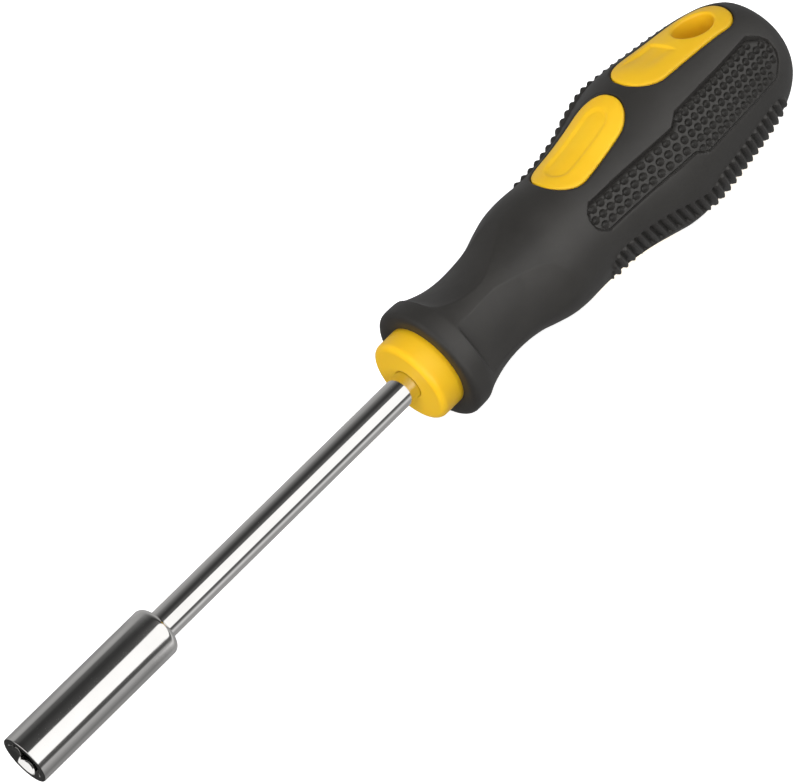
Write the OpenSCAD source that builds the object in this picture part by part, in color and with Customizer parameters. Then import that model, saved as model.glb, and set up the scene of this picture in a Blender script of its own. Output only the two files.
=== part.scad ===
// Bit holder screwdriver.
// The tool lies along X. The mouth of the bit socket is at the origin, the
// handle is towards +X, and the hang hole runs straight up along Z.

/* [Bit sleeve] */
// Outside diameter of the sleeve
sleeve_d = 10.7; // [10.2:0.1:12]
// Length of the sleeve
sleeve_l = 36.8; // [32:0.1:46]
// Width across the flats of the hex socket (quarter inch bits)
hex_af = 6.4; // [6.36:0.02:6.5]
// Depth of the hex socket
hex_depth = 14; // [11:0.5:16]
// Rounding of the rear shoulder of the sleeve
shoulder_r = 2.2; // [0.6:0.1:2.2]
// Bevel on the outer edge of the front rim
rim_bevel = 0.2; // [0.1:0.05:0.6]
// Diameter of the lead-in at the mouth of the socket
mouth_d = 8.3; // [7.6:0.1:8.6]

/* [Magnet] */
// Thickness of the holding magnet
magnet_t = 3; // [2:0.5:4]

/* [Shaft] */
// Diameter of the round shaft
shaft_d = 6.2; // [5.4:0.1:6.2]
// Length of shaft that shows between sleeve and handle
shaft_show = 69.8; // [40:0.1:130]
// Length of the tang inside the handle
tang_l = 62; // [54:1:70]
// Width across the pressed wings of the tang
wing_w = 9; // [7:0.5:11]
// Thickness of the pressed wings
wing_t = 2.4; // [1.8:0.2:3.2]
// Length of each pair of wings
wing_l = 9; // [6:0.5:10]

/* [Handle] */
// Diameter of the hard collar at the front
collar_d = 18.6; // [18:0.1:19]
// Length of the collar that shows
collar_l = 5.6; // [3:0.1:6.5]
// Rounding of the collar's front edge
collar_r = 1.3; // [0.4:0.1:1.6]
// Thickness of the soft layer over the core
soft_t = 2.2; // [1.6:0.1:2.6]
// How far the hard pads sit below the soft skin
pad_drop = 0.2; // [0.1:0.05:0.4]
// Diameter of the hang hole
hang_d = 7.4; // [6:0.2:9]

/* [Grip] */
// Distance of the scallop floor from the axis, at the waist
scallop_floor = 9.25; // [9.25:0.05:9.4]
// Radius of the scallop along the handle
scallop_r = 24; // [22:1:26]
// Turn of the scallops about the axis
scallop_turn = 79; // [76:1:82]
// Depth of the recessed finger panels
panel_depth = 0.5; // [0.3:0.05:0.8]
// Turn of the recessed panels from the hard pads
panel_turn = 62; // [59:1:62]

/* [Hidden] */
$fn = 72;

// Where the pieces start and end along the tool
shaft_x0 = hex_depth + magnet_t;
handle_x0 = sleeve_l + shaft_show;
grip_x0 = handle_x0 + collar_l;
tang_x1 = handle_x0 + tang_l;
hang_x = grip_x0 + 87.8;

// Outer shape of the soft grip: distance behind the collar, radius
skin = [
    [0, 0], [0, 12.1], [0.3, 12.6], [1, 12.9], [1.8, 12.95], [4.2, 12.95],
    [6.3, 12.2], [8.3, 11.5], [10.5, 10.9], [13.6, 10.45], [16.8, 10.4],
    [20, 10.6], [23.2, 11.25], [26.4, 12.3], [29.6, 13.1], [31.8, 13.3],
    [34.3, 13.35], [37.3, 13.25], [40.3, 13], [43.3, 12.95], [46.3, 13.15],
    [50.3, 13.7], [54.3, 14.5], [58.3, 15.5], [62.3, 16.5], [65.3, 17],
    [68.3, 17.1], [72.3, 16.85], [76.3, 16.35], [80.3, 15.8], [84.3, 15.2],
    [88.3, 14.5], [92.3, 13.6], [95.3, 12.7], [97.8, 11.5], [99.8, 10.1],
    [101.4, 8.2], [102.6, 5.9], [103.4, 3.4], [103.7, 0]
];

// The hard core under the soft layer: distance behind the collar, radius
bone = [
    [0, 8.4], [6.3, 8.4], [10.8, 7.9], [16.3, 7.6], [22.3, 8.2], [28.3, 9.8],
    [34.3, 10.8], [40.3, 10.6], [46.3, 10.8], [54.3, 12], [60.3, 13.6],
    [65.3, 14.6], [70.3, 14.7], [76.3, 14], [84.3, 12.8], [90.3, 11.6],
    [95.3, 9.8], [98.8, 7.4], [100.8, 4.6], [101.4, 0]
];

// Radius of the core, which grows when the soft layer is thinner
function bone_r(p) = p[1] > 0 ? p[1] + 2.2 - soft_t : 0;

// Turn a profile of [distance along the tool, radius] into a round solid
module turned(points) {
    rotate([0, 90, 0]) rotate_extrude()
        polygon([for (p = points) [p[1], p[0]]]);
}

// Round outline along X: front corners of radius rf, back corners of radius rb
module pad_outline(x0, x1, half_w, rf, rb) {
    translate([x0 + rf, -half_w]) square([x1 - rb - x0 - rf, 2 * half_w]);
    translate([x0, rf - half_w]) square([rf, 2 * (half_w - rf)]);
    translate([x1 - rb, rb - half_w]) square([rb, 2 * (half_w - rb)]);
    for (s = [-1, 1]) {
        translate([x0 + rf, s * (half_w - rf)]) circle(rf);
        translate([x1 - rb, s * (half_w - rb)]) circle(rb);
    }
}

// The two pads that show through the soft layer, on both sides of the handle
module pad_prisms() {
    translate([grip_x0, 0, -30]) linear_extrude(60) {
        pad_outline(39.8, 63.9, 6.9, 6.5, 6.5);
        pad_outline(66.4, 96.5, 6.2, 6.1, 5.8);
    }
}

// Outer shape of the grip, drawn in by a distance
module skin_solid(inset) {
    turned([for (p = skin) [grip_x0 + p[0], max(0, p[1] - inset)]]);
}

// Shape of the shaft with its wings, also used for the seat in the core
module shaft_shape() {
    translate([shaft_x0, 0, 0]) rotate([0, 90, 0])
        cylinder(d = shaft_d, h = tang_x1 - 0.8 - shaft_x0);
    translate([tang_x1 - 0.8, 0, 0]) rotate([0, 90, 0])
        cylinder(d1 = shaft_d, d2 = shaft_d - 1.6, h = 0.8);
    for (x = [handle_x0 + 24, handle_x0 + 42])
        translate([x, -wing_w / 2, -wing_t / 2]) cube([wing_l, wing_w, wing_t]);
}

module bit_sleeve() {
    color("silver") difference() {
        rotate([0, 90, 0]) rotate_extrude() difference() {
            union() {
                translate([0, rim_bevel])
                    square([sleeve_d / 2, sleeve_l - shoulder_r - rim_bevel]);
                polygon([[0, 0], [sleeve_d / 2 - rim_bevel, 0],
                         [sleeve_d / 2, rim_bevel], [0, rim_bevel]]);
                square([sleeve_d / 2 - shoulder_r, sleeve_l]);
                translate([sleeve_d / 2 - shoulder_r, sleeve_l - shoulder_r])
                    circle(shoulder_r);
            }
            translate([-20, -1]) square([20, sleeve_l + 2]);
        }
        // hex socket for the bit
        translate([-1, 0, 0]) rotate([0, 90, 0])
            cylinder(d = hex_af / cos(30), h = hex_depth + 1, $fn = 6);
        // lead-in at the mouth
        translate([-0.01, 0, 0]) rotate([0, 90, 0])
            cylinder(d1 = mouth_d, d2 = hex_af, h = 1.25);
        // seat of the magnet and the shaft
        translate([hex_depth, 0, 0]) rotate([0, 90, 0])
            cylinder(d = shaft_d, h = sleeve_l);
    }
}

module socket_magnet() {
    color("dimgray") translate([hex_depth, 0, 0]) rotate([0, 90, 0])
        cylinder(d = shaft_d, h = magnet_t);
}

module shaft() {
    color("silver") shaft_shape();
}

module handle_core() {
    color("gold") difference() {
        union() {
            // collar, rounded at its front edge, and the core behind it
            turned(concat(
                [[handle_x0, 0]],
                [for (a = [0:15:90])
                    [handle_x0 + collar_r * (1 - cos(a)),
                     collar_d / 2 - collar_r * (1 - sin(a))]],
                [[grip_x0, collar_d / 2]],
                [for (p = bone) [grip_x0 + p[0], bone_r(p)]]));
            // the pads that reach the outside
            intersection() {
                pad_prisms();
                skin_solid(pad_drop);
            }
        }
        shaft_shape();
        // hang hole
        translate([hang_x, 0, -30]) cylinder(d = hang_d, h = 60);
    }
}

module soft_grip() {
    color([0.2, 0.2, 0.19]) difference() {
        skin_solid(0);
        // room for the core
        turned(concat(
            [[grip_x0 - 1, 0], [grip_x0 - 1, bone_r(bone[0])]],
            [for (p = bone) [grip_x0 + p[0], bone_r(p)]]));
        pad_prisms();
        // shallow scallops round the waist
        for (k = [0:3])
            rotate([scallop_turn + 90 * k, 0, 0])
                translate([grip_x0 + 15.8, 0, scallop_floor + scallop_r])
                    rotate([90, 0, 0])
                        cylinder(r = scallop_r, h = 30, center = true);
        // recessed finger panels, one on each side
        for (k = [0:1])
            rotate([panel_turn + 180 * k, 0, 0]) difference() {
                translate([grip_x0, 0, 5]) linear_extrude(20) {
                    pad_outline(40.3, 68, 3.7, 3, 0.5);
                    pad_outline(66, 96.2, 5.5, 3, 4.5);
                }
                skin_solid(panel_depth);
            }
    }
}

bit_sleeve();
socket_magnet();
shaft();
handle_core();
soft_grip();
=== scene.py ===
import math

import bmesh
import bpy
import numpy as np
from mathutils import Matrix, Vector
from mathutils.geometry import delaunay_2d_cdt
from mathutils.kdtree import KDTree


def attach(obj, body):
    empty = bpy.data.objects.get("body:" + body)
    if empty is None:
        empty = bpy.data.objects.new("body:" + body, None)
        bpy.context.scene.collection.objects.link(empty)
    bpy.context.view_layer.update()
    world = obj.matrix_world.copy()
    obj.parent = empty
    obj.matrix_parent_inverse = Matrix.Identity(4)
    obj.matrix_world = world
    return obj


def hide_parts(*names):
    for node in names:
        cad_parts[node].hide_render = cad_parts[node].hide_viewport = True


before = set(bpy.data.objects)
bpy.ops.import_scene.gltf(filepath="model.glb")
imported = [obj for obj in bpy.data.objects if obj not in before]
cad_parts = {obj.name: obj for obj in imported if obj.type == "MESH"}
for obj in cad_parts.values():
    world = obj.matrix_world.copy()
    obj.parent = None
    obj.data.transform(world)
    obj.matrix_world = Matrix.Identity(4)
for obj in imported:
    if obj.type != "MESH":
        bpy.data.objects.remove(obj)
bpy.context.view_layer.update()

# The tool lies along X with the socket mouth at the origin. Work is in mm and
# goes to metres when a mesh is made. A place on the handle is given by s, the
# distance along X counted from a point SHIFT behind the mouth, and t, the turn
# in radians from +Z towards -Y.
MM = 0.001
rad = math.radians

SHIFT = 0.5
SLEEVE_R, SLEEVE_L = 5.35, 36.8
COLLAR_X, GRIP_X = 106.1, 111.7
TANG_END = 168.1
SHAFT_R = 3.1
# hang hole: place, half length along the handle, half width, rounding of its rim
HOLE_S, HOLE_A, HOLE_B, HOLE_F = 199.5, 4.8, 3.55, 0.7


# ---------------------------------------------------------------- profiles

def spline(points, first=None, last=None, n=24):
    """Centripetal curve through the points, as a dense polyline."""
    p = [np.array(q, float) for q in points]
    a = np.array(first, float) if first else 2 * p[0] - p[1]
    b = np.array(last, float) if last else 2 * p[-1] - p[-2]
    p = [a] + p + [b]
    out = []
    for i in range(1, len(p) - 2):
        p0, p1, p2, p3 = p[i - 1:i + 3]
        t0 = 0.0
        t1 = t0 + max(1e-6, np.linalg.norm(p1 - p0)) ** 0.5
        t2 = t1 + max(1e-6, np.linalg.norm(p2 - p1)) ** 0.5
        t3 = t2 + max(1e-6, np.linalg.norm(p3 - p2)) ** 0.5
        for t in np.linspace(t1, t2, n, endpoint=False):
            a1 = (t1 - t) / (t1 - t0) * p0 + (t - t0) / (t1 - t0) * p1
            a2 = (t2 - t) / (t2 - t1) * p1 + (t - t1) / (t2 - t1) * p2
            a3 = (t3 - t) / (t3 - t2) * p2 + (t - t2) / (t3 - t2) * p3
            b1 = (t2 - t) / (t2 - t0) * a1 + (t - t0) / (t2 - t0) * a2
            b2 = (t3 - t) / (t3 - t1) * a2 + (t - t1) / (t3 - t1) * a3
            out.append((t2 - t) / (t2 - t1) * b1 + (t - t1) / (t2 - t1) * b2)
    out.append(p[-2])
    return np.array(out)


# Ridge line of the soft grip: place along the tool, radius
SKIN = spline([
    (111.72, 9.4), (111.58, 10.3), (111.52, 11.2), (111.58, 11.85), (111.76, 12.35), (112.06, 12.75),
    (112.45, 12.96), (112.9, 13.02), (113.8, 13.03), (115.2, 12.98), (116, 12.87), (117, 12.45), (118, 12.03), (119, 11.68),
    (120, 11.38), (122.2, 10.85), (125.3, 10.45), (128.5, 10.36), (131.7, 10.48), (134.9, 11),
    (138.1, 12), (141.3, 12.88), (143.5, 13.22), (146, 13.35),
    (149, 13.25), (152, 13), (155, 12.95), (158, 13.15), (162, 13.7),
    (166, 14.5), (170, 15.5), (174, 16.5), (177, 17), (180, 17.1),
    (184, 16.85), (188, 16.35), (192, 15.8), (196, 15.2), (200, 14.5),
    (204, 13.6), (207, 12.7), (209.5, 11.5), (211.5, 10.1), (213.1, 8.2),
    (214.3, 5.9), (215.1, 3.4), (215.4, 0)], last=(215.1, -3.4))
SKIN_P = np.concatenate([[0], np.cumsum(np.hypot(*np.diff(SKIN, axis=0).T))])
# the front face leans back to the collar: places count from its foremost edge
EDGE = int(np.argmin(SKIN[:, 0]))

# Flat of the waist scallops: place along the tool, distance from the axis
FLAT = spline([
    (115.2, 14.2), (115.7, 13.2), (116.2, 12.35), (117.2, 11.6), (119, 10.72), (122.2, 9.72),
    (125.3, 9.25), (128.5, 9.2), (131.7, 9.7), (134.9, 10.55), (138.1, 11.8), (140, 12.5), (143, 13.7), (147, 15)])
# the pair that faces the dotted panels starts at a sharper step and runs out further
STEP = spline([
    (115.2, 14.2), (115.7, 13), (116.1, 12), (116.6, 11.4), (117.4, 11), (119, 10.42), (122.2, 9.65),
    (125.3, 9.24), (128.5, 9.15), (131.7, 9.55), (134.9, 10.35), (138.1, 11.58), (140, 12.36), (143, 13.7), (147, 15)])
# turn of the scallops, how far they lean back per radian across, and their floor
FLATS = [(rad(78.6), 1.0, STEP), (rad(-11.4), 0.0, FLAT)]


def flat_r(s, turn, lean, floor):
    """Radius of a scallop at a turn from its middle."""
    z = np.interp(s - lean * (turn + 0.65), floor[:, 0], floor[:, 1], left=99, right=99)
    return z / np.cos(0.75 * turn)


# The hard core under the soft layer
BONE = spline([
    (111.7, 8.4), (118, 8.4), (122.5, 7.9), (128, 7.6), (134, 8.2), (140, 9.8),
    (146, 10.8), (152, 10.6), (158, 10.8), (166, 12), (172, 13.6), (177, 14.6),
    (182, 14.7), (188, 14), (196, 12.8), (202, 11.6), (207, 9.8), (210.5, 7.4),
    (212.5, 4.6), (213.1, 0)], last=(212.5, -4.6))


def skin_r(s):
    return np.interp(s, SKIN[EDGE:, 0], SKIN[EDGE:, 1])


def skin_p(s):
    return np.interp(s, SKIN[EDGE:, 0], SKIN_P[EDGE:])


def skin_s(p):
    return np.interp(p, SKIN_P, SKIN[:, 0])


def bone_r(s):
    return np.interp(s, BONE[:, 0], BONE[:, 1])


def step(a, b, x):
    t = np.clip((np.asarray(x, float) - a) / (b - a), 0, 1)
    return t * t * (3 - 2 * t)


def wrap(t):
    return (np.asarray(t, float) + math.pi) % (2 * math.pi) - math.pi


def place(s, t, r):
    return np.stack([np.asarray(s) + 0 * r, -r * np.sin(t), r * np.cos(t)], -1)


# ---------------------------------------------------------------- outlines

def smooth_loop(corners, radius, n=7):
    """Closed outline with its corners rounded, counter-clockwise or not."""
    c = [np.array(q[:2], float) for q in corners]
    rr = [q[2] if len(q) > 2 else radius for q in corners]
    out = []
    for i in range(len(c)):
        a, b, d = c[i - 1], c[i], c[(i + 1) % len(c)]
        u, v = a - b, d - b
        lu, lv = np.linalg.norm(u), np.linalg.norm(v)
        u, v = u / lu, v / lv
        ang = math.acos(max(-1, min(1, float(u @ v))))
        cut = min(rr[i] / math.tan(ang / 2), 0.49 * lu, 0.49 * lv)
        for k in range(n + 1):
            q = k / n
            out.append((1 - q) ** 2 * (b + u * cut) + 2 * q * (1 - q) * b
                       + q * q * (b + v * cut))
    return np.array(out)


def round_rect(x0, x1, h, rf, rb, hb=None, n=16):
    """Outline along s with round front and back corners, as the core's pads."""
    out = []
    hb = hb or h
    for cx, cy, r, a0 in ((x0 + rf, rf - h, rf, 180), (x1 - rb, rb - hb, rb, 270),
                          (x1 - rb, hb - rb, rb, 0), (x0 + rf, h - rf, rf, 90)):
        for a in np.radians(np.linspace(a0, a0 + 90, n)):
            out.append((cx + r * math.cos(a), cy + r * math.sin(a)))
    return np.array(out)


def resample(loop, gap):
    """Closed outline with points about a gap apart."""
    p = np.vstack([loop, loop[:1]])
    keep = np.concatenate([[True], np.hypot(*np.diff(p, axis=0).T) > 1e-6])
    p = p[keep]
    L = np.concatenate([[0], np.cumsum(np.hypot(*np.diff(p, axis=0).T))])
    n = max(8, int(round(L[-1] / gap)))
    q = np.linspace(0, L[-1], n, endpoint=False)
    return np.stack([np.interp(q, L, p[:, 0]), np.interp(q, L, p[:, 1])], -1)


def offset(loop, d):
    """Outline moved outwards by d."""
    a, b = np.roll(loop, 1, 0), np.roll(loop, -1, 0)
    t = b - a
    t /= np.linalg.norm(t, axis=1)[:, None] + 1e-12
    area = 0.5 * np.sum(loop[:, 0] * b[:, 1] - b[:, 0] * loop[:, 1])
    n = np.stack([t[:, 1], -t[:, 0]], -1) * (1 if area > 0 else -1)
    return loop + n * d


def inside(loop, pts):
    """Distance inside a closed outline, negative outside."""
    pts = np.asarray(pts, float)
    a, b = loop, np.roll(loop, -1, 0)
    out = np.empty(len(pts))
    for i in range(0, len(pts), 4000):
        q = pts[i:i + 4000]
        ab = b - a
        aq = q[:, None] - a[None]
        k = np.clip((aq * ab).sum(2) / np.maximum((ab * ab).sum(1), 1e-18), 0, 1)
        d = np.sqrt((((aq - k[..., None] * ab)) ** 2).sum(2)).min(1)
        up = (a[None, :, 1] > q[:, None, 1]) != (b[None, :, 1] > q[:, None, 1])
        den = np.where(np.abs(ab[:, 1]) < 1e-12, 1e-12, ab[:, 1])
        xs = a[:, 0] + (q[:, None, 1] - a[:, 1]) / den * ab[:, 0]
        odd = (up & (q[:, None, 0] < xs)).sum(1) % 2 == 1
        out[i:i + 4000] = np.where(odd, d, -d)
    return out


# Windows in the soft grip, flat outlines seen along Z
WINDOWS = [round_rect(GRIP_X + 39.8, GRIP_X + 63.9, 6.9, 6.5, 6.5),
           round_rect(GRIP_X + 66.5, GRIP_X + 96.4, 6.6, 6.2, 5.5, 5.8)]
# Dotted finger panel: its step sits a little further back on the lower side
DOT_LOOP = smooth_loop(
    [(208.1, 1.5), (207, 3.2), (204.2, 5.45), (180.2, 5.45), (177.5, 3.6), (154.5, 3.6), (152.6, 2.1), (152, 1.1),
     (152, -1.1), (152.6, -2.1), (154.5, -3.6), (176.7, -3.6), (179.6, -5.45), (204.2, -5.45), (207, -3.2),
     (208.1, -1.5)], 0.9)
DOT_T = [rad(62.7), rad(242.7)]


# Rib strips: half outlines towards growing and falling turn
def strip_loop(up, down):
    return smooth_loop(up[::-1] + [(s, -v) for s, v in down], 1.2)


WIDE = [(178.4, 4.3), (181.2, 5.65), (184, 5.85), (194, 5.8), (199.2, 5.65), (202.8, 4.6), (204.8, 2.8), (205.5, 1.4)]
SLIM = [(178.4, 4), (184, 4.5), (194, 4.4), (200, 4), (203.6, 3.2), (205.6, 2.2), (206.3, 1.2)]
BROAD = [(178.4, 5), (181.2, 7.2), (184, 7.8), (194, 7.6), (199.2, 7), (202.8, 5.4), (204.8, 3), (205.5, 1.4)]
FULL = [(151.9, 1.6), (152.6, 2.8), (154, 3.75), (157, 4.15), (163, 4.25), (168, 4.35), (171, 4.15), (174.5, 3.7), (176.7, 3.7)]
NECK = [(151.7, 1.6), (152.1, 3.2), (153, 4.9), (155.6, 5.3), (158, 5.1), (161, 4.4), (164, 3.4), (168, 3), (174.5, 3.1), (176.7, 3.6)]
# turn, phase, height of the ribs and outline of each strip
RIBS = [(rad(121.3), -0.17, 0.98, strip_loop(NECK + BROAD, FULL + WIDE)),
        (rad(304.6), 0.0, 0.58, strip_loop(FULL + SLIM, FULL + WIDE))]


def rib_slant(s, strip):
    """The ribs of both strips run in parallel planes, so their slants are opposite."""
    if strip == 0:
        return 0.42 - 0.06 * step(170, 182, s)
    return -0.36 + 0 * np.asarray(s)


def rib_lift(s, strip):
    """How far the feet of the ribs stand over the body."""
    if strip == 0:
        return -0.94 + 0.6 * (1 - step(154, 164, s)) + 0.58 * step(175, 180, s)
    return 0.15 + 0.35 * step(164, 171, s) * (1 - step(176, 182, s)) - 0.3 * step(178, 184, s)


# count of ribs up to a place along the tool: they stand a little wider in front
RIB_S, RIB_N = np.array([150, 172, 184, 210.0]), np.array([-17.58, -7.25, -1.495, 11.25])

# Small round dimples: rows a step apart, every other row shifted by half a step
DOT_ROW, DOT_H = 1.98, 1.0
dots = []
for s0, s1, pitch, rows, wide in ((153.3, 178.6, 2.18, 1, 0.93), (179.4, 208, 1.97, 2, 0.9)):
    for j in range(-rows, rows + 1):
        for k in range(30):
            c = (s0 + pitch * (k + 0.5 * (j % 2)), DOT_ROW * j)
            if c[0] < s1 and inside(DOT_LOOP, [c])[0] > (0.75 if c[0] < 182 else 0.95):
                dots.append((c[0], c[1], wide))
dots = np.array(dots)


# ---------------------------------------------------------------- soft grip

def swell(s, t):
    """The body is fuller round the hang hole, on both of its sides."""
    k = 0.45 * step(175, 182, s) + 0.45 * step(188, 202, s)
    return k * (1 - step(210.3, 215.3, s)) * np.cos(t + rad(6.4)) ** 4


def dip(s, t):
    """Behind the rib strip at the bottom the body is fuller, then falls away."""
    d = np.degrees(wrap(t - rad(143)))
    full = 0.36 * step(148, 154, s) * (1 - step(173, 179, s)) * step(-24, -8, d) * (1 - step(4, 20, d))
    return -full + 0.3 * step(177, 181, s) * (1 - step(203, 208, s)) * step(-12, -5, d) * (1 - step(7, 12, d))


def waist(s, t):
    """Body of the grip: turned shape with four flats round the waist."""
    r = skin_r(s)
    for tc, lean, floor in FLATS:
        turn = (t - tc + rad(90)) % rad(180) - rad(90)
        f = flat_r(s, turn, lean, floor)
        # crisp edge with a fine raised line, soft where the leaning pair runs out
        k = 0.1 + 0.9 * lean * step(127, 136, s) * step(-0.1, 0.35, turn)
        line = 0.035 * np.exp(-((r - f) / 0.14) ** 2) * step(118, 119.5, s - lean * (turn + 0.65)) * (0.1 / k)
        h = np.clip(0.5 + 0.5 * (r - f) / k, 0, 1)
        r = r * (1 - h) + f * h - k * h * (1 - h) + line
    return r + swell(s, t) - dip(s, t)


def grip_r(s, t):
    """Outer radius of the soft grip."""
    s, t = np.asarray(s, float), np.asarray(t, float)
    base = skin_r(s)
    r = waist(s, t)
    # dotted panels
    for tc in DOT_T:
        dt = wrap(t - tc)
        v = base * np.sin(dt)
        m = np.nonzero((np.abs(dt) < 0.8) & (s > 150.5) & (s < 209))[0]
        if not len(m):
            continue
        d = inside(DOT_LOOP, np.stack([s[m], v[m]], -1))
        # the floor lies deeper along the upper edge, behind a sloping wall; a fine groove runs all round
        upper = 1 - step(-2.6, 0.4, v[m])
        drop = (0.34 - 0.05 * v[m]) * step(-0.05, 1, d / (0.3 + 0.2 * upper))
        drop += (0.42 + 0.12 * upper) * step(-0.1, 0.1 + 0.15 * upper, d) * (1 - step(0.14 + 0.26 * upper, 0.42 + 0.5 * upper, d))
        q = np.concatenate([(np.hypot(s[n][:, None] - dots[:, 0], v[n][:, None] - dots[:, 1]) / dots[:, 2]).min(1)
                            for n in np.array_split(m, 1 + len(m) // 4000)])
        r[m] -= drop + DOT_H * np.maximum(0, 1 - q ** 2)
    # rib strips
    for strip, (tc, phase, high, loop) in enumerate(RIBS):
        dt = wrap(t - tc)
        v = base * dt
        m = np.nonzero((np.abs(dt) < 0.7) & (s > 150.5) & (s < 208))[0]
        if not len(m):
            continue
        d = inside(loop, np.stack([s[m], v[m]], -1))
        q = np.interp(s[m] - rib_slant(s[m], strip) * v[m], RIB_S, RIB_N) - phase
        r[m] += (high * (0.5 + 0.5 * np.cos(2 * math.pi * q)) ** 0.72 + rib_lift(s[m], strip)) * step(-0.05, 0.55, d)
    # rolled edge at the windows
    for side in (0, math.pi):
        dt = wrap(t - side)
        v = base * np.sin(dt)
        for loop in WINDOWS:
            lo, hi = loop[:, 0].min() - 1.5, loop[:, 0].max() + 1.5
            m = np.nonzero((np.abs(dt) < 0.9) & (s > lo) & (s < hi))[0]
            if not len(m):
                continue
            g = -inside(loop, np.stack([s[m], v[m]], -1))
            q = np.clip(1 - g / 0.34, 0, 1)
            r[m] -= 0.34 * (1 - np.sqrt(np.maximum(0, 1 - q * q)))
    return r


def thin_out(points, keep_off, gap):
    """Points of a list that are not within a gap of the other list."""
    if not len(points) or not len(keep_off):
        return points
    tree = KDTree(len(keep_off))
    for i, q in enumerate(keep_off):
        tree.insert((q[0], q[1], 0), i)
    tree.balance()
    return np.array([q for q in points if tree.find((q[0], q[1], 0))[2] > gap]).reshape(-1, 2)


RHO = 13.5


def triangulate(points, loops, wall):
    """Triangles over a sheet of points that is wall[0] long and 2 pi RHO round.
    The first points are a frame of wall columns and rows; loops are lists of
    point indices that bound the holes."""
    edges = []
    for loop in loops:
        edges += [(loop[i], loop[(i + 1) % len(loop)]) for i in range(len(loop))]
    edges += wall
    res = delaunay_2d_cdt([Vector(q) for q in points], edges, [], 0, 1e-6, True)
    verts, faces, orig = res[0], res[2], res[3]
    if len(verts) != len(points):
        raise RuntimeError("the sheet was cut at a crossing")
    back = [o[0] for o in orig]
    return np.array([[back[i] for i in f] for f in faces if len(f) == 3])


def seam_frame(ps, n, t0):
    """Border of a sheet: rows ps, n columns, from turn t0 all the way round."""
    pts, edges = [], []
    left = []
    right = []
    for p in ps:
        left.append(len(pts)); pts.append((p, 0.0))
    for p in ps:
        right.append(len(pts)); pts.append((p, 2 * math.pi * RHO))
    front = [left[0]]
    for i in range(1, n):
        front.append(len(pts)); pts.append((ps[0], 2 * math.pi * RHO * i / n))
    rear = [left[-1]]
    for i in range(1, n):
        rear.append(len(pts)); pts.append((ps[-1], 2 * math.pi * RHO * i / n))
    for row in (left, right):
        edges += list(zip(row[:-1], row[1:]))
    for row, end in ((front, right[0]), (rear, right[-1])):
        full = row + [end]
        edges += list(zip(full[:-1], full[1:]))
    return np.array(pts), edges, left, right, front, rear


class Builder:
    """Collects vertices and faces of one piece, in mm."""

    def __init__(self):
        self.v, self.f = [], []

    def add(self, pts):
        n = len(self.v)
        self.v.extend([tuple(map(float, q)) for q in pts])
        return list(range(n, len(self.v)))

    def strip(self, a, b, closed=True):
        n = len(a)
        for i in range(n if closed else n - 1):
            k = (i + 1) % n
            self.f.append((a[i], a[k], b[k], b[i]))

    def fan(self, ring, tip):
        for i in range(len(ring)):
            self.f.append((ring[i], ring[(i + 1) % len(ring)], tip))

    def object(self, name, sharp=40.0, shift=0.0):
        mesh = bpy.data.meshes.new(name)
        mesh.from_pydata([((x + shift) * MM, y * MM, z * MM) for x, y, z in self.v], [],
                         [tuple(f) for f in self.f])
        bm = bmesh.new()
        bm.from_mesh(mesh)
        loose = [v for v in bm.verts if not v.link_faces]
        bmesh.ops.delete(bm, geom=loose, context="VERTS")
        bmesh.ops.recalc_face_normals(bm, faces=bm.faces)
        bm.to_mesh(mesh)
        bm.free()
        mesh.polygons.foreach_set("use_smooth", [True] * len(mesh.polygons))
        mesh.set_sharp_from_angle(angle=rad(sharp))
        mesh.update()
        ob = bpy.data.objects.new(name, mesh)
        bpy.context.scene.collection.objects.link(ob)
        return ob


def sheet_points(t0, pts, to_p):
    """Points (s, t) on the unrolled sheet that starts at turn t0."""
    pts = np.asarray(pts, float)
    y = ((pts[:, 1] - t0) % (2 * math.pi)) * RHO
    return np.stack([to_p(pts[:, 0]), y], -1)


def window_turn(loop, side, r):
    """Turn of flat outline points, for the pad side at turn 0 or pi."""
    return np.arcsin(np.clip(loop[:, 1] / r, -1, 1)) + side


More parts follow.
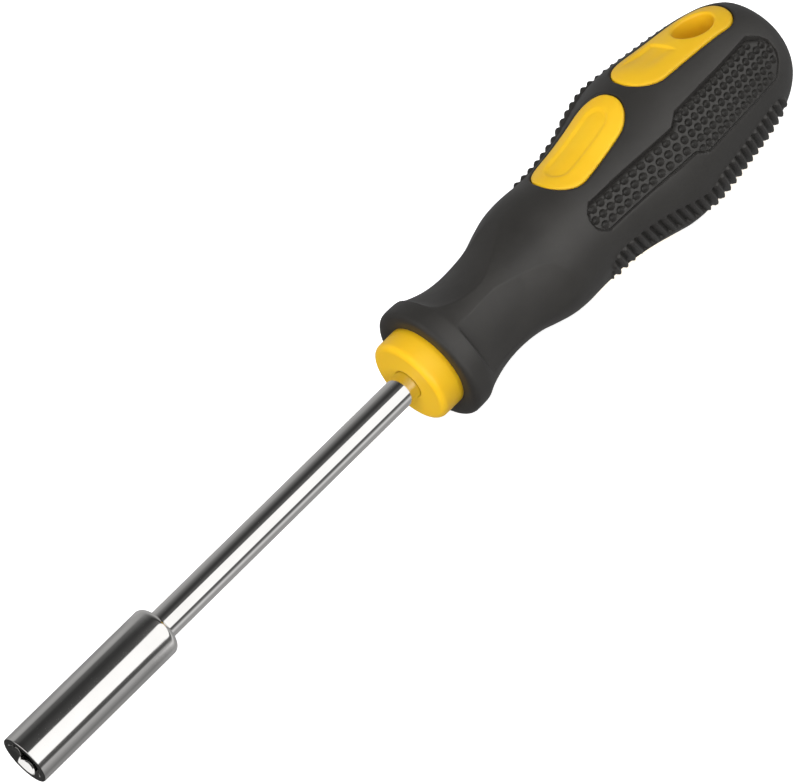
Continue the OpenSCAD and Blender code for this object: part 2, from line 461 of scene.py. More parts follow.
def build_grip():
    t0, n = rad(271), 132
    p_end = float(skin_p(213.2))
    ps = [0, 0.6, 1.2, 1.8, 2.4, 2.6, 2.8, 3.0, 3.2, 3.4, 3.6, 3.85, 4.2, 4.7, 5.2, 5.7]
    fine = skin_p(np.array([115.0, 115.35, 115.6, 115.85, 116.1, 116.4, 116.75, 117.2, 117.7]))
    ps = [p for p in ps if p < fine[0] - 0.3] + list(fine)
    while ps[-1] < p_end - 0.8:
        ps.append(ps[-1] + (0.6 if skin_s(ps[-1]) < 148 else 0.75))
    ps = np.array(ps + [p_end])
    frame_pts, edges, left, right, front, rear = seam_frame(ps, n, t0)

    feats, loops_st = [], []
    for side in (0, math.pi):
        for loop in WINDOWS:
            edge = resample(loop, 0.42)
            r = skin_r(edge[:, 0])
            loops_st.append(np.stack([edge[:, 0], window_turn(edge, side, r)], -1))
            for g in (0.07, 0.17, 0.34, 0.65, 1.05):
                o = resample(offset(resample(loop, 0.2), g), 0.42 if g < 0.5 else 0.6)
                feats.append(np.stack([o[:, 0], window_turn(o, side, skin_r(o[:, 0]))], -1))
    for tc in DOT_T:
        for g in (0.6, 0.25, 0.05, -0.1, -0.24, -0.45, -0.75):
            o = resample(offset(resample(DOT_LOOP, 0.2), g), 0.4)
            feats.append(np.stack([o[:, 0], window_turn(o, tc, skin_r(o[:, 0]))], -1))
        own = []
        for c in dots:
            own.append((c[0], c[1]))
            for q, m in ((0.3, 6), (0.55, 10), (0.76, 12), (0.9, 14), (0.985, 16)):
                a = 2 * math.pi * np.arange(m) / m + q * 7
                own += [(c[0] + q * c[2] * math.cos(b), c[1] + q * c[2] * math.sin(b)) for b in a]
        own = np.array(own)
        g = np.array([(s, v) for s in np.arange(152.6, 207.4, 0.5) for v in np.arange(-5, 5.01, 0.5)])
        g = g[inside(DOT_LOOP, g) > 0.95]
        g = thin_out(g, own, 0.36)
        own = np.vstack([own, g])
        feats.append(np.stack([own[:, 0], window_turn(own, tc, skin_r(own[:, 0]))], -1))
    for strip, (tc, phase, high, loop) in enumerate(RIBS):
        own = []
        for k in range(-22, 14):
            for q in (-0.5, -0.4, -0.28, -0.15, 0, 0.15, 0.28, 0.4):
                v = np.arange(-6, 6.01, 0.45)
                s = np.interp(k + q + phase, RIB_N, RIB_S)
                s = s + rib_slant(s + 0.38 * v, strip) * v if strip == 0 else s + rib_slant(s, strip) * v
                own.append(np.stack([s, v], -1))
        own = np.vstack(own)
        d = inside(loop, own)
        own = own[d > 0.62]
        ring = np.vstack([resample(offset(resample(loop, 0.2), g), 0.3)
                          for g in (0.35, 0.08, -0.12, -0.32, -0.52)])
        own = np.vstack([own, ring])
        feats.append(np.stack([own[:, 0], own[:, 1] / skin_r(own[:, 0]) + tc], -1))

    for tc, lean, floor in FLATS:
        own = []
        for s in np.arange(116.2, 143, 0.45):
            for sign in (1, -1):
                turn = 0.5 * sign
                for _ in range(12):
                    z = flat_r(s, turn, lean, floor) * math.cos(0.75 * turn)
                    turn = sign * math.acos(min(1.0, float(z / skin_r(s)))) / 0.75
                if abs(turn) > 0.06:
                    own += [(s, turn + g / 11) for g in (-0.5, -0.2, 0, 0.2, 0.5)]
        for turn in np.radians(np.arange(-38, 38.1, 2)):
            own += [(115.9 + lean * (turn + 0.65) + g, turn) for g in (-0.35, -0.15, 0, 0.15, 0.35, 0.7)]
        own = np.array(own)
        for half in (0, math.pi):
            feats.append(np.stack([own[:, 0], own[:, 1] + tc + half], -1))

    loop_pts = [sheet_points(t0, q, skin_p) for q in loops_st]
    feat_pts = sheet_points(t0, np.vstack(feats), skin_p)
    feat_pts = thin_out(feat_pts, np.vstack(loop_pts), 0.03)
    feat_pts = feat_pts[(feat_pts[:, 1] > 0.15) & (feat_pts[:, 1] < 2 * math.pi * RHO - 0.15)]
    # points of neighbouring features that fall together
    _, first = np.unique(np.round(feat_pts / 0.09).astype(int), axis=0, return_index=True)
    feat_pts = feat_pts[np.sort(first)]
    grid = np.array([(p, 2 * math.pi * RHO * (i + 0.5 * (k % 2)) / n)
                     for k, p in enumerate(ps[1:-1]) for i in range(1, n)])
    busy = np.vstack([feat_pts] + loop_pts)
    grid = thin_out(grid, busy, 0.42)
    # no grid inside the windows and strips, which have their own points
    gs, gt = skin_s(grid[:, 0]), grid[:, 1] / RHO + t0
    ok = np.ones(len(grid), bool)
    for side in (0, math.pi):
        dt = wrap(gt - side)
        for loop in WINDOWS:
            v = np.where(np.abs(dt) < 1.2, skin_r(gs) * np.sin(dt), 99)
            ok &= inside(loop, np.stack([gs, v], -1)) < 0
    for tc in DOT_T:
        dt = wrap(gt - tc)
        v = np.where(np.abs(dt) < 1.2, skin_r(gs) * np.sin(dt), 99)
        ok &= inside(DOT_LOOP, np.stack([gs, v], -1)) < 0
    for tc, phase, high, loop in RIBS:
        dt = wrap(gt - tc)
        ok &= inside(loop, np.stack([gs, skin_r(gs) * dt], -1)) < 0
    grid = grid[ok]

    pts = [frame_pts]
    loops, at = [], len(frame_pts)
    for q in loop_pts:
        loops.append(list(range(at, at + len(q))))
        pts.append(q)
        at += len(q)
    pts += [feat_pts, grid]
    pts = np.vstack(pts)
    tris = triangulate(pts, loops, edges)
    s, t = skin_s(pts[:, 0]), pts[:, 1] / RHO + t0
    # the exact places of the window edges
    for q, l in zip(loops_st, loops):
        s[l], t[l] = q[:, 0], q[:, 1]
    mid_s, mid_t = s[tris].mean(1), (pts[:, 1][tris].mean(1)) / RHO + t0
    hole = np.zeros(len(tris), bool)
    for side in (0, math.pi):
        dt = wrap(mid_t - side)
        for loop in WINDOWS:
            v = np.where(np.abs(dt) < 1.2, skin_r(mid_s) * np.sin(dt), 99)
            fine_loop = resample(loop, 0.42)
            hole |= inside(fine_loop, np.stack([mid_s, v], -1)) > 0
    tris = tris[~hole]

    b = Builder()
    r = grip_r(s, t)
    face = pts[:, 0] < skin_p(113.0)
    r[face] = np.interp(pts[face, 0], SKIN_P, SKIN[:, 1])
    out = b.add(place(s, t, r))
    join = {right[i]: left[i] for i in range(len(left))}
    for f in tris:
        b.f.append(tuple(out[join.get(i, i)] for i in f))
    # domed end
    turn = np.array([t0 + 2 * math.pi * i / n for i in range(n)])
    last = [out[i] for i in rear]
    for p in np.linspace(p_end, SKIN_P[-1], 9)[1:-1]:
        sp = skin_s(p)
        rp = np.interp(p, SKIN_P, SKIN[:, 1])
        ring = b.add(place(np.full(n, sp), turn, rp + swell(sp, turn)))
        b.strip(last, ring)
        last = ring
    b.fan(last, b.add([(SKIN[-1, 0], 0, 0)])[0])

    # inner face, on the core
    ps2 = np.concatenate([[GRIP_X + 0.2], np.arange(114, 209.5, 2.6), [210.8]])
    fp, edges2, left2, right2, front2, rear2 = seam_frame(ps2, n, t0)
    lp = [np.stack([q[:, 0], ((q[:, 1] - t0) % (2 * math.pi)) * RHO], -1) for q in loops_st]
    g = np.array([(p, 2 * math.pi * RHO * i / 44) for p in ps2[1:-1] for i in range(1, 44)])
    g = thin_out(g, np.vstack(lp), 1.0)
    dt = g[:, 1] / RHO + t0
    ok = np.ones(len(g), bool)
    for side in (0, math.pi):
        d = wrap(dt - side)
        for loop in WINDOWS:
            v = np.where(np.abs(d) < 1.2, skin_r(g[:, 0]) * np.sin(d), 99)
            ok &= inside(loop, np.stack([g[:, 0], v], -1)) < 0
    g = g[ok]
    pts2 = np.vstack([fp] + lp + [g])
    loops2, at = [], len(fp)
    for q in lp:
        loops2.append(list(range(at, at + len(q))))
        at += len(q)
    tri2 = triangulate(pts2, loops2, edges2)
    s2, t2 = pts2[:, 0], pts2[:, 1] / RHO + t0
    ms, mt = s2[tri2].mean(1), t2[tri2].mean(1)
    hole = np.zeros(len(tri2), bool)
    for side in (0, math.pi):
        d = wrap(mt - side)
        for loop in WINDOWS:
            v = np.where(np.abs(d) < 1.2, skin_r(ms) * np.sin(d), 99)
            hole |= inside(resample(loop, 0.42), np.stack([ms, v], -1)) > 0
    tri2 = tri2[~hole]
    inn = b.add(place(s2, t2, bone_r(s2)))
    join2 = {right2[i]: left2[i] for i in range(len(left2))}
    for f in tri2:
        b.f.append(tuple(inn[join2.get(i, i)] for i in f))
    last = [inn[i] for i in rear2]
    for sp in (211.8, 212.6, 213.0):
        ring = b.add(place(np.full(n, sp), turn, np.full(n, float(bone_r(sp)))))
        b.strip(last, ring)
        last = ring
    b.fan(last, b.add([(213.1, 0, 0)])[0])
    # walls at the windows and the front ring
    for l1, l2 in zip(loops, loops2):
        mid = b.add(place(s[l1], t[l1], skin_r(s[l1]) - 1.2))
        b.strip([out[i] for i in l1], mid)
        b.strip(mid, [inn[i] for i in l2])
    b.strip([out[i] for i in front], [inn[i] for i in front2])
    return b.object("soft_grip_moulded", 38, SHIFT)


# ---------------------------------------------------------------- hard core

PAD_GAP = 0.1
PAD_DROP = 0.08
A_PANEL = round_rect(154.6, 172.2, 3.2, 3.1, 3.1)


def hole_loop(out, n=64):
    """Outline round the hang hole, a distance outside it."""
    a = 2 * math.pi * np.arange(n) / n
    return np.stack([HOLE_S + (HOLE_A + out) * np.cos(a), (HOLE_B + out) * np.sin(a)], -1)


def hole_gap(s, v):
    """Distance from the edge of the hang hole."""
    x, y = (s - HOLE_S) / HOLE_A, v / HOLE_B
    k = np.hypot(x, y) + 1e-9
    return (k - 1) * np.hypot(HOLE_A * x / k, HOLE_B * y / k)


def pad_dent(s, v, which):
    """How far a hard pad lies under the body, before its edge is rolled."""
    q = np.stack([s, v], -1)
    if which == 0:
        return PAD_DROP + 0.4 * step(-0.3, 0.8, inside(A_PANEL, q))
    edge = 191.5 + 0.12 * v
    q = step(181.2, 188, s) * (1 - step(edge - 0.3, edge + 0.3, s)) * step(-4.2, -3.3, v) * (1 - step(0.6, 3.4, v))
    q = PAD_DROP + 0.6 * q
    g = np.clip(1 - hole_gap(s, v) / HOLE_F, 0, 1)
    return q + HOLE_F * (1 - np.sqrt(np.maximum(0, 1 - g * g)))


def build_core():
    t0, n = rad(90), 120
    ps = np.concatenate([[GRIP_X + 0.2], np.arange(113.5, 209.5, 2.2), [210.8]])
    frame_pts, edges, left, right, front, rear = seam_frame(ps, n, t0)
    st, xyz = [], []

    def put(loop, side, dent, keep):
        """Points of a flat outline, a dent under the body; returns their rows."""
        r = np.maximum(skin_r(loop[:, 0]), 1)
        t = window_turn(loop, 0, r)
        r = r + swell(loop[:, 0], t) - dent
        k = len(st)
        for q, tt, rr in zip(loop, t, r):
            st.append((q[0], tt + (math.pi if side < 0 else 0)))
            xyz.append((q[0], -side * rr * math.sin(tt), side * rr * math.cos(tt)))
        return list(range(k, len(st))) if keep else None

    holes = {}
    for side in (1, -1):
        for which, window in enumerate(WINDOWS):
            base = offset(resample(window, 0.2), -PAD_GAP)
            o = resample(base, 0.5)
            put(o, side, np.full(len(o), 1.9), False)
            inner = []
            for e, drop in ((0.02, 0.62), (0.07, 0.34), (0.16, 0.18), (0.3, 0.07), (0.5, 0.015), (0.8, 0.0)):
                o = resample(offset(base, -e), 0.5)
                put(o, side, pad_dent(o[:, 0], o[:, 1], which) + drop, False)
                inner.append(o)
            own = []
            if which == 0:
                for g in (0.3, 0.05, -0.2, -0.45, -0.7, -0.95):
                    own.append(resample(offset(resample(A_PANEL, 0.2), g), 0.5))
            else:
                for g in (-0.4, -0.2, 0, 0.2, 0.4):
                    v = np.arange(-4.4, 3.6, 0.5)
                    own.append(np.stack([191.5 + 0.12 * v + g, v], -1))
                for v in (-4.3, -4.0, -3.75, -3.5, -3.2):
                    s = np.arange(181, 191, 0.5)
                    own.append(np.stack([s, np.full(len(s), v)], -1))
                for q in (0.03, 0.1, 0.22, 0.38, 0.58, 0.85, 1.2):
                    own.append(hole_loop(q))
                rim = hole_loop(0)
                holes[side] = put(rim, side, pad_dent(rim[:, 0], rim[:, 1], 1), True)
            own = np.vstack(own)
            grid = np.array([(s, v) for s in np.arange(window[:, 0].min(), window[:, 0].max(), 0.7)
                             for v in np.arange(-7, 7.01, 0.7)])
            grid = grid[inside(base, grid) > 1.1]
            grid = thin_out(grid, own, 0.4)
            if which == 1:
                grid = grid[hole_gap(grid[:, 0], grid[:, 1]) > 1.35]
            own = np.vstack([own, grid])
            ok = inside(base, own) > 0.85
            own = own[ok]
            put(own, side, pad_dent(own[:, 0], own[:, 1], which), False)

    st, xyz = np.array(st), np.array(xyz)
    pad = np.stack([st[:, 0], ((st[:, 1] - t0) % (2 * math.pi)) * RHO], -1)
    g = np.array([(p, 2 * math.pi * RHO * i / 40) for p in ps[1:-1] for i in range(1, 40)])
    gt = g[:, 1] / RHO + t0
    ok = np.ones(len(g), bool)
    for side in (0, math.pi):
        d = wrap(gt - side)
        for loop in WINDOWS:
            v = np.where(np.abs(d) < 1.2, skin_r(g[:, 0]) * np.sin(d), 99)
            ok &= inside(loop, np.stack([g[:, 0], v], -1)) < -0.6
    g = g[ok]
    k0 = len(frame_pts)
    pts = np.vstack([frame_pts, pad, g])
    loops = [[k0 + i for i in holes[side]] for side in (1, -1)]
    tris = triangulate(pts, loops, edges)
    s, t = pts[:, 0], pts[:, 1] / RHO + t0
    co = place(s, t, bone_r(s))
    co[k0:k0 + len(pad)] = xyz
    # the hang hole stays open
    cut = np.zeros(len(tris), bool)
    for l in loops:
        own = np.zeros(len(pts), bool)
        own[l] = True
        cut |= own[tris].all(1)
    tris = tris[~cut]
    b = Builder()
    ids = b.add(co)
    join = {right[i]: left[i] for i in range(len(left))}
    for f in tris:
        b.f.append(tuple(ids[join.get(i, i)] for i in f))
    # tunnel of the hang hole, bottom rim is the top rim turned half round
    top = [ids[i] for i in loops[0]]
    m = len(top)
    low = [ids[i] for i in loops[1]]
    low = [low[(-i) % m] for i in range(m)]
    prev = top
    hi, lo = np.array([b.v[i] for i in top]), np.array([b.v[i] for i in low])
    for q in np.linspace(0, 1, 9)[1:-1]:
        ring = b.add(hi * (1 - q) + lo * q)
        b.strip(prev, ring)
        prev = ring
    b.strip(prev, low)
    # domed end under the soft layer
    turn = np.array([t0 + 2 * math.pi * i / n for i in range(n)])
    last = [ids[i] for i in rear]
    for sp in (211.8, 212.6, 213.0):
        ring = b.add(place(np.full(n, sp), turn, np.full(n, float(bone_r(sp)))))
        b.strip(last, ring)
        last = ring
    b.fan(last, b.add([(213.1, 0, 0)])[0])
    # collar: step out under the flange, side, rounded edge, face, seat of the shaft
    last = [ids[i] for i in front]
    prof = [(GRIP_X + 0.14, 8.8), (GRIP_X + 0.14, 9.22), (GRIP_X + 0.06, 9.3)]
    prof += [(s, 9.3) for s in (110.6, 109.5, 108.4, 107.6)]
    R = 1.3
    prof += [(COLLAR_X + R * (1 - math.sin(q)), 9.3 - R * (1 - math.cos(q)))
             for q in np.radians(np.linspace(0, 88, 9))]
    prof += [(COLLAR_X, 7.6), (COLLAR_X, 6.4), (COLLAR_X, 5.2), (COLLAR_X, 4.2),
             (COLLAR_X, 3.6), (COLLAR_X + 0.05, 3.3), (COLLAR_X + 0.25, 3.12), (COLLAR_X + 2, SHAFT_R),
             (TANG_END, SHAFT_R), (TANG_END, 1.4)]
    for sp, rp in prof:
        ring = b.add(place(np.full(n, sp), turn, np.full(n, rp)))
        b.strip(last, ring)
        last = ring
    b.fan(last, b.add([(TANG_END, 0, 0)])[0])
    return b.object("handle_core_moulded", 50, SHIFT)


# ---------------------------------------------------------------- steel

def build_sleeve():
    n = 120
    a = 2 * math.pi * np.arange(n) / n
    b = Builder()

    def ring(x, r):
        x = np.broadcast_to(x, n)
        r = np.broadcast_to(r, n)
        return b.add(np.stack([x, r * np.sin(a), r * np.cos(a)], -1))

    # hex radius, with corners towards +Z and -Z
    w = (a + rad(30)) % rad(60) - rad(30)
    hexr = 3.2 / np.cos(rad(30) - np.abs(w))
    mouth = 4.15
    lead = 1.33 * (mouth - hexr)
    prof = [(14.0, hexr * 0 + SHAFT_R), (14.0, hexr), (8.0, hexr), (3.0, hexr), (1.9, hexr),
            (lead + 0.12, hexr), (lead, hexr + 0.015),
            (np.full(n, 0.05), np.full(n, mouth - 0.04)), (np.full(n, 0.0), np.full(n, mouth + 0.04))]
    prof += [(0.0, r) for r in (4.5, 4.9)]
    prof += [(0.18 * (1 - math.cos(q)), SLEEVE_R - 0.18 * (1 - math.sin(q))) for q in np.radians(np.linspace(0, 90, 6))]
    prof += [(x, SLEEVE_R) for x in (0.8, 3, 8, 14, 20, 26, 31, 34.2)]
    prof += [(SLEEVE_L - 1.75 + 1.75 * math.sin(q), SLEEVE_R - 2.2 * (1 - math.cos(q)))
             for q in np.radians(np.linspace(0, 90, 16))]
    prof += [(SLEEVE_L - 0.06, 3.14), (SLEEVE_L - 0.4, SHAFT_R), (30, SHAFT_R), (17, SHAFT_R)]
    rings = [ring(x, r) for x, r in prof]
    for p, q in zip(rings[:-1], rings[1:]):
        b.strip(p, q)
    b.strip(rings[-1], rings[0])
    return b.object("bit_sleeve_turned", 32)


def build_shaft():
    n = 96
    a = 2 * math.pi * np.arange(n) / n
    b = Builder()

    def ring(x, r):
        return b.add(np.stack([np.full(n, x), r * np.sin(a), r * np.cos(a)], -1))

    xs = [(17.0, SHAFT_R - 0.15)]
    xs += [(x, SHAFT_R) for x in (17.15, 22, 37, 45, 60, 75, 90, 100, 107, 115, 131, 145, 160, TANG_END + SHIFT - 0.8)]
    xs += [(TANG_END + SHIFT, SHAFT_R - 0.8)]
    rings = [ring(x, r) for x, r in xs]
    for p, q in zip(rings[:-1], rings[1:]):
        b.strip(p, q)
    b.fan(rings[0], b.add([(17.0, 0, 0)])[0])
    b.fan(rings[-1], b.add([(TANG_END + SHIFT, 0, 0)])[0])
    # pressed wings that key the tang in the core
    for x in (COLLAR_X + SHIFT + 24, COLLAR_X + SHIFT + 42):
        for side in (1, -1):
            box = [(x, 2.4, -1.2), (x, 2.4, 1.2), (x + 9, 2.4, 1.2), (x + 9, 2.4, -1.2),
                   (x + 0.6, 4.5, -0.9), (x + 0.6, 4.5, 0.9), (x + 8.4, 4.5, 0.9), (x + 8.4, 4.5, -0.9)]
            k = b.add([(p, side * q, r) for p, q, r in box])
            for f in ((0, 1, 2, 3), (4, 5, 6, 7), (0, 1, 5, 4), (1, 2, 6, 5), (2, 3, 7, 6), (3, 0, 4, 7)):
                b.f.append(tuple(k[i] for i in f))
    return b.object("shaft_rod", 32)


# ---------------------------------------------------------------- materials

class Nodes:
    """Short hand for a procedural material."""

    def __init__(self, name):
        self.mat = bpy.data.materials.new(name)
        self.mat.use_nodes = True
        self.t = self.mat.node_tree
        self.b = self.t.nodes["Principled BSDF"]
        self.co = self.t.nodes.new("ShaderNodeTexCoord").outputs["Object"]

    def noise(self, scale, detail=3.0, rough=0.55, stretch=None):
        src = self.co
        if stretch:
            m = self.t.nodes.new("ShaderNodeMapping")
            m.inputs["Scale"].default_value = stretch
            self.t.links.new(src, m.inputs["Vector"])
            src = m.outputs["Vector"]
        n = self.t.nodes.new("ShaderNodeTexNoise")
        n.inputs["Scale"].default_value = scale
        n.inputs["Detail"].default_value = detail
        n.inputs["Roughness"].default_value = rough
        self.t.links.new(src, n.inputs["Vector"])
        return n.outputs["Fac"]

    def ramp(self, fac, stops):
        r = self.t.nodes.new("ShaderNodeValToRGB")
        e = r.color_ramp.elements
        while len(e) < len(stops):
            e.new(0.5)
        for k, (pos, col) in enumerate(stops):
            e[k].position = pos
            e[k].color = (col, col, col, 1) if isinstance(col, float) else (*col, 1)
        self.t.links.new(fac, r.inputs["Fac"])
        return r.outputs["Color"]

    def bump(self, height, strength, distance, normal=None):
        n = self.t.nodes.new("ShaderNodeBump")
        n.inputs["Strength"].default_value = strength
        n.inputs["Distance"].default_value = distance
        self.t.links.new(height, n.inputs["Height"])
        if normal is not None:
            self.t.links.new(normal, n.inputs["Normal"])
        return n.outputs["Normal"]

    def link(self, out, name):
        self.t.links.new(out, self.b.inputs[name])

    def set(self, **kw):
        for k, v in kw.items():
            self.b.inputs[k.replace("_", " ")].default_value = v
        return self


def black_soft():
    m = Nodes("black_soft_mould")
    m.set(IOR=1.47)
    m.b.inputs["Specular IOR Level"].default_value = 0.42
    m.link(m.ramp(m.noise(90, 4), [(0.3, (0.0205, 0.019, 0.0173)), (0.7, (0.026, 0.0243, 0.0221))]), "Base Color")
    m.link(m.ramp(m.noise(160, 5), [(0.3, 0.47), (0.7, 0.56)]), "Roughness")
    fine = m.bump(m.noise(3800, 2), 0.10, 0.00012)
    m.link(m.bump(m.noise(420, 3), 0.05, 0.0004, fine), "Normal")
    return m.mat


def yellow_hard():
    m = Nodes("yellow_hard_plastic")
    m.set(IOR=1.48)
    m.b.inputs["Subsurface Weight"].default_value = 0.18
    m.b.inputs["Subsurface Radius"].default_value = (1.0, 0.55, 0.12)
    m.b.inputs["Subsurface Scale"].default_value = 0.0012
    m.b.inputs["Specular IOR Level"].default_value = 0.2
    m.link(m.ramp(m.noise(70, 4), [(0.3, (0.86, 0.50, 0.012)), (0.7, (0.90, 0.545, 0.02))]), "Base Color")
    m.link(m.ramp(m.noise(140, 5), [(0.3, 0.36), (0.7, 0.46)]), "Roughness")
    fine = m.bump(m.noise(2600, 2), 0.06, 0.0001)
    m.link(m.bump(m.noise(260, 3), 0.05, 0.0005, fine), "Normal")
    return m.mat


def chrome(name, lo, hi, turned):
    m = Nodes(name)
    m.set(Metallic=1.0)
    m.link(m.ramp(m.noise(120, 3), [(0.3, (0.70, 0.69, 0.675)), (0.7, (0.74, 0.73, 0.715))]), "Base Color")
    m.link(m.ramp(m.noise(260, 5, 0.6, turned), [(0.3, lo), (0.72, hi)]), "Roughness")
    fine = m.bump(m.noise(900, 3, 0.6, turned), 0.035, 0.00006)
    m.link(m.bump(m.noise(150, 2), 0.02, 0.0003, fine), "Normal")
    return m.mat


def nickel():
    m = Nodes("magnet_nickel")
    m.set(Metallic=1.0)
    m.link(m.ramp(m.noise(400, 4), [(0.3, (0.30, 0.30, 0.305)), (0.7, (0.40, 0.40, 0.405))]), "Base Color")
    m.link(m.ramp(m.noise(700, 5), [(0.3, 0.32), (0.7, 0.45)]), "Roughness")
    m.link(m.bump(m.noise(1500, 3), 0.1, 0.00005), "Normal")
    return m.mat


def dress(ob, mat, node):
    ob.data.materials.clear()
    ob.data.materials.append(mat)
    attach(ob, "root")
    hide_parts(node)


grip = build_grip()
core = build_core()
sleeve = build_sleeve()
shaft = build_shaft()
dress(grip, black_soft(), "soft_grip")
dress(core, yellow_hard(), "handle_core")
dress(sleeve, chrome("sleeve_chrome_plate", 0.06, 0.11, (1, 1, 1)), "bit_sleeve")
dress(shaft, chrome("shaft_chrome_plate", 0.05, 0.09, (0.15, 1, 1)), "shaft")
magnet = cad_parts["socket_magnet"]
magnet.data.materials.clear()
magnet.data.materials.append(nickel())

# ---------------------------------------------------------------- camera
# Fitted to the photograph: the tool's axis leans 21.5 degrees away from the
# viewer and runs up to the right at 44.5 degrees; the hang hole's side is
# turned 49.6 degrees up from the viewer.
FPX, TILT, LEAN, ROLL = 4300.0, rad(21.5), rad(44.45), rad(49.6)
TIP_PX, TIP_Z = (24.27, 760.89), 792.0
ax = np.array([math.cos(TILT) * math.cos(LEAN), math.cos(TILT) * math.sin(LEAN), -math.sin(TILT)])
up = np.array([-math.sin(LEAN), math.cos(LEAN), 0.0])
toward = np.cross(ax, up)
zw = math.cos(ROLL) * toward + math.sin(ROLL) * up
yw = np.cross(zw, ax)
to_cam = np.stack([ax, yw, zw], 1)
tip = np.array([(TIP_PX[0] - 397.5) / FPX * TIP_Z, -(TIP_PX[1] - 391.5) / FPX * TIP_Z, -TIP_Z])
eye = -to_cam.T @ tip
cam = bpy.data.cameras.new("camera")
cam.sensor_fit = "HORIZONTAL"
cam.sensor_width = 36.0
cam.lens = FPX / 795 * 36.0
cam.clip_start, cam.clip_end = 0.01, 50
cam_ob = bpy.data.objects.new("camera", cam)
bpy.context.scene.collection.objects.link(cam_ob)
rot = Matrix([list(row) for row in to_cam.T])
cam_ob.matrix_world = Matrix.Translation(Vector(eye * MM)) @ rot.to_4x4()
bpy.context.scene.camera = cam_ob

# ---------------------------------------------------------------- studio
# Directions round the tool: b is the turn from the viewer's side, positive
# towards the lower right of the picture.


def around(b, d, x):
    """Point at turn b and distance d from the axis, at place x, in metres."""
    t = ROLL + rad(b)
    return Vector((x, -d * math.sin(t), d * math.cos(t)))


def softbox(name, b, d, x, along, across, watts, colour=(1, 1, 1), aim_x=0.12):
    light = bpy.data.lights.new(name, "AREA")
    light.shape = "RECTANGLE"
    light.size, light.size_y = along, across
    light.energy = watts
    light.color = colour
    ob = bpy.data.objects.new(name, light)
    bpy.context.scene.collection.objects.link(ob)
    at = around(b, d, x)
    z = (at - Vector((aim_x, 0, 0))).normalized()
    xdir = Vector((1, 0, 0))
    xdir = (xdir - z * xdir.dot(z)).normalized()
    ydir = z.cross(xdir)
    m = Matrix((xdir, ydir, z)).transposed().to_4x4()
    ob.matrix_world = Matrix.Translation(at) @ m
    ob.visible_camera = False
    return ob


softbox("key", -6, 0.7, -0.25, 0.8, 0.8, 5.6, aim_x=0.15)
softbox("top", -52, 0.8, 0.22, 0.9, 0.8, 0.6, aim_x=0.15)
softbox("back_fill", -150, 0.8, 0.3, 1.2, 0.6, 3.6)
softbox("front_fill", 10, 0.4, -0.85, 0.5, 0.6, 3.5).visible_glossy = False
# sheen along the top of the soft grip
softbox("sheen", 38, 0.8, -0.2, 0.9, 0.7, 10.8, (1, 0.97, 0.93), 0.15).visible_diffuse = False
softbox("rear_sheen", -8, 0.7, 0.65, 0.7, 0.7, 4.2, (1, 0.97, 0.93), 0.2).visible_diffuse = False

world = bpy.data.worlds.new("studio")
bpy.context.scene.world = world
world.use_nodes = True
bg = world.node_tree.nodes["Background"]
bg.inputs["Color"].default_value = (1, 1, 1, 1)
bg.inputs["Strength"].default_value = 0.42


def glow(name, strength, stops):
    """Light that changes with the turn about the object's own Z axis."""
    mat = bpy.data.materials.new(name)
    mat.use_nodes = True
    t = mat.node_tree
    t.nodes.clear()
    co = t.nodes.new("ShaderNodeTexCoord")
    g = t.nodes.new("ShaderNodeTexGradient")
    g.gradient_type = "RADIAL"
    r = t.nodes.new("ShaderNodeValToRGB")
    e = r.color_ramp.elements
    while len(e) < len(stops):
        e.new(0.5)
    for k, (b, v) in enumerate(stops):
        e[k].position = 0.5 + b / 360
        e[k].color = (v, v, v, 1)
    em = t.nodes.new("ShaderNodeEmission")
    em.inputs["Strength"].default_value = strength
    out = t.nodes.new("ShaderNodeOutputMaterial")
    t.links.new(co.outputs["Object"], g.inputs["Vector"])
    t.links.new(g.outputs["Fac"], r.inputs["Fac"])
    t.links.new(r.outputs["Color"], em.inputs["Color"])
    t.links.new(em.outputs["Emission"], out.inputs["Surface"])
    mat.cycles.emission_sampling = "NONE"
    return mat


def card(name, rings, mat, turn=0.0, close=False):
    """Round card about the tool's axis, seen only in its polish."""
    n = 48
    v, f = [], []
    for x, d in rings:
        v += [(d * math.cos(2 * math.pi * i / n), d * math.sin(2 * math.pi * i / n), x) for i in range(n)]
    for k in range(len(rings) - 1):
        f += [(k * n + i, k * n + (i + 1) % n, (k + 1) * n + (i + 1) % n, (k + 1) * n + i) for i in range(n)]
    if close:
        f.append(tuple(range(n)))
    mesh = bpy.data.meshes.new(name)
    mesh.from_pydata(v, [], f)
    mesh.materials.append(mat)
    ob = bpy.data.objects.new(name, mesh)
    bpy.context.scene.collection.objects.link(ob)
    t = ROLL + rad(turn)
    ob.matrix_world = Matrix(((0, 0, 1, 0), (-math.sin(t), -math.cos(t), 0, 0), (math.cos(t), -math.sin(t), 0, 0), (0, 0, 0, 1)))
    ob.visible_camera = ob.visible_diffuse = ob.visible_shadow = False
    ob.visible_transmission = ob.visible_volume_scatter = False
    return ob


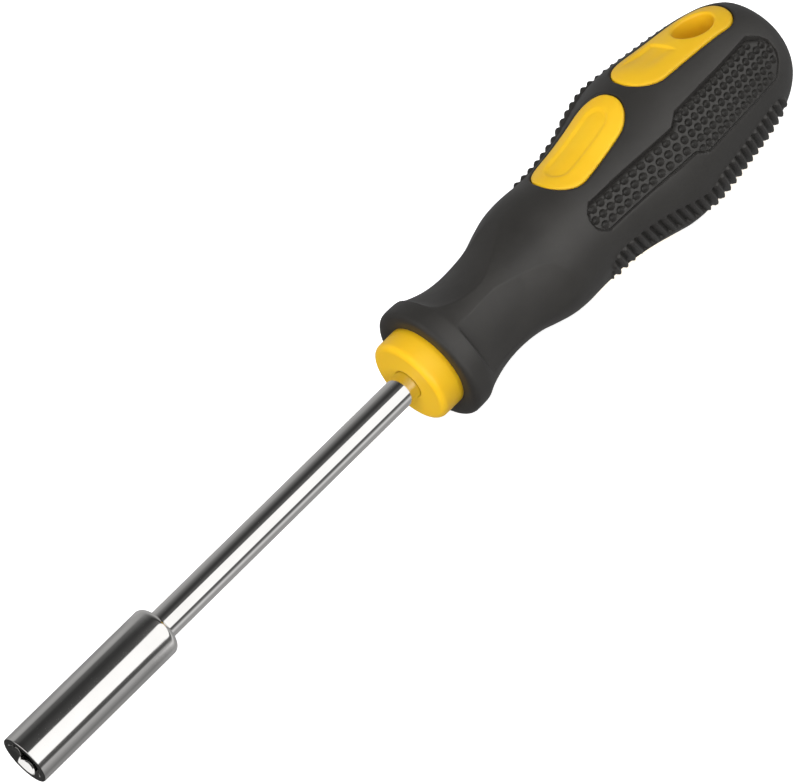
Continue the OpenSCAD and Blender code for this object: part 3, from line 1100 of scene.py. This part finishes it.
tent = glow("tent_cloth", 1.4, [
    (-180, 0.2), (-134, 0.36), (-114, 0.3), (-99, 0.28), (-86, 0.18), (-74, 0.118), (-63, 0.07), (-52, 0.035),
    (-42, 0.036), (-32, 0.062), (-23, 0.08), (-15.5, 0.09), (-13.5, 0.95), (50.5, 0.98), (54, 0.12), (63, 0.08),
    (71, 0.16), (78, 0.4), (86, 0.62), (99, 0.37), (114, 0.26), (134, 0.3), (180, 0.2)])
sleeve_tent = glow("sleeve_cloth", 1.4, [
    (-180, 0.2), (-134, 0.24), (-114, 0.33), (-99, 0.31), (-94, 0.25), (-88, 0.1), (-74, 0.068), (-63, 0.032),
    (-52, 0.03), (-42, 0.038), (-32, 0.045), (-23, 0.05), (-13.5, 0.07), (-11, 0.95), (46.5, 0.98), (50, 0.1),
    (63, 0.06), (69, 0.12), (73, 0.37), (86, 0.31), (99, 0.22), (114, 0.16), (134, 0.23), (180, 0.2)])
front = glow("front_cloth", 1.4, [(-180, 0.03), (-125, 0.03), (-112, 0.9), (48, 0.9), (54, 0.03), (180, 0.03)])
front_dim = glow("front_dim_cloth", 1.4, [(-180, 0.03), (0, 0.05), (180, 0.03)])
card("tent_rear", [(0.168, 0.45), (1.3, 0.45), (1.3, 0.001)], tent)
card("tent_front", [(-0.08, 0.45), (0.168, 0.45)], sleeve_tent)
card("front_card", [(-0.3, 0.001), (-0.3, 0.43)], front)
card("front_ring", [(-0.3, 0.43), (-0.3, 0.45), (-0.08, 0.45)], front_dim)

# pale floor, tipped so that the tool lies on it on its flange and the thick of its grip
floor = bpy.data.meshes.new("floor")
fz = lambda x: -0.01736 + (0.180 - x) * 0.06486
size = 3.0
floor.from_pydata([(-size, -size, fz(-size)), (size, -size, fz(size)), (size, size, fz(size)), (-size, size, fz(-size))],
                  [], [(0, 1, 2, 3)])
floor_ob = bpy.data.objects.new("floor", floor)
bpy.context.scene.collection.objects.link(floor_ob)
fm = Nodes("floor_paper")
fm.link(fm.ramp(fm.noise(3, 2), [(0.3, (0.90, 0.90, 0.90)), (0.7, (0.92, 0.92, 0.92))]), "Base Color")
fm.set(Roughness=0.9)
fm.b.inputs["Emission Color"].default_value = (1, 1, 1, 1)
fm.b.inputs["Emission Strength"].default_value = 0.8
floor.materials.append(fm.mat)
floor_ob.visible_diffuse = floor_ob.visible_glossy = False

bpy.context.scene.view_settings.view_transform = "Standard"
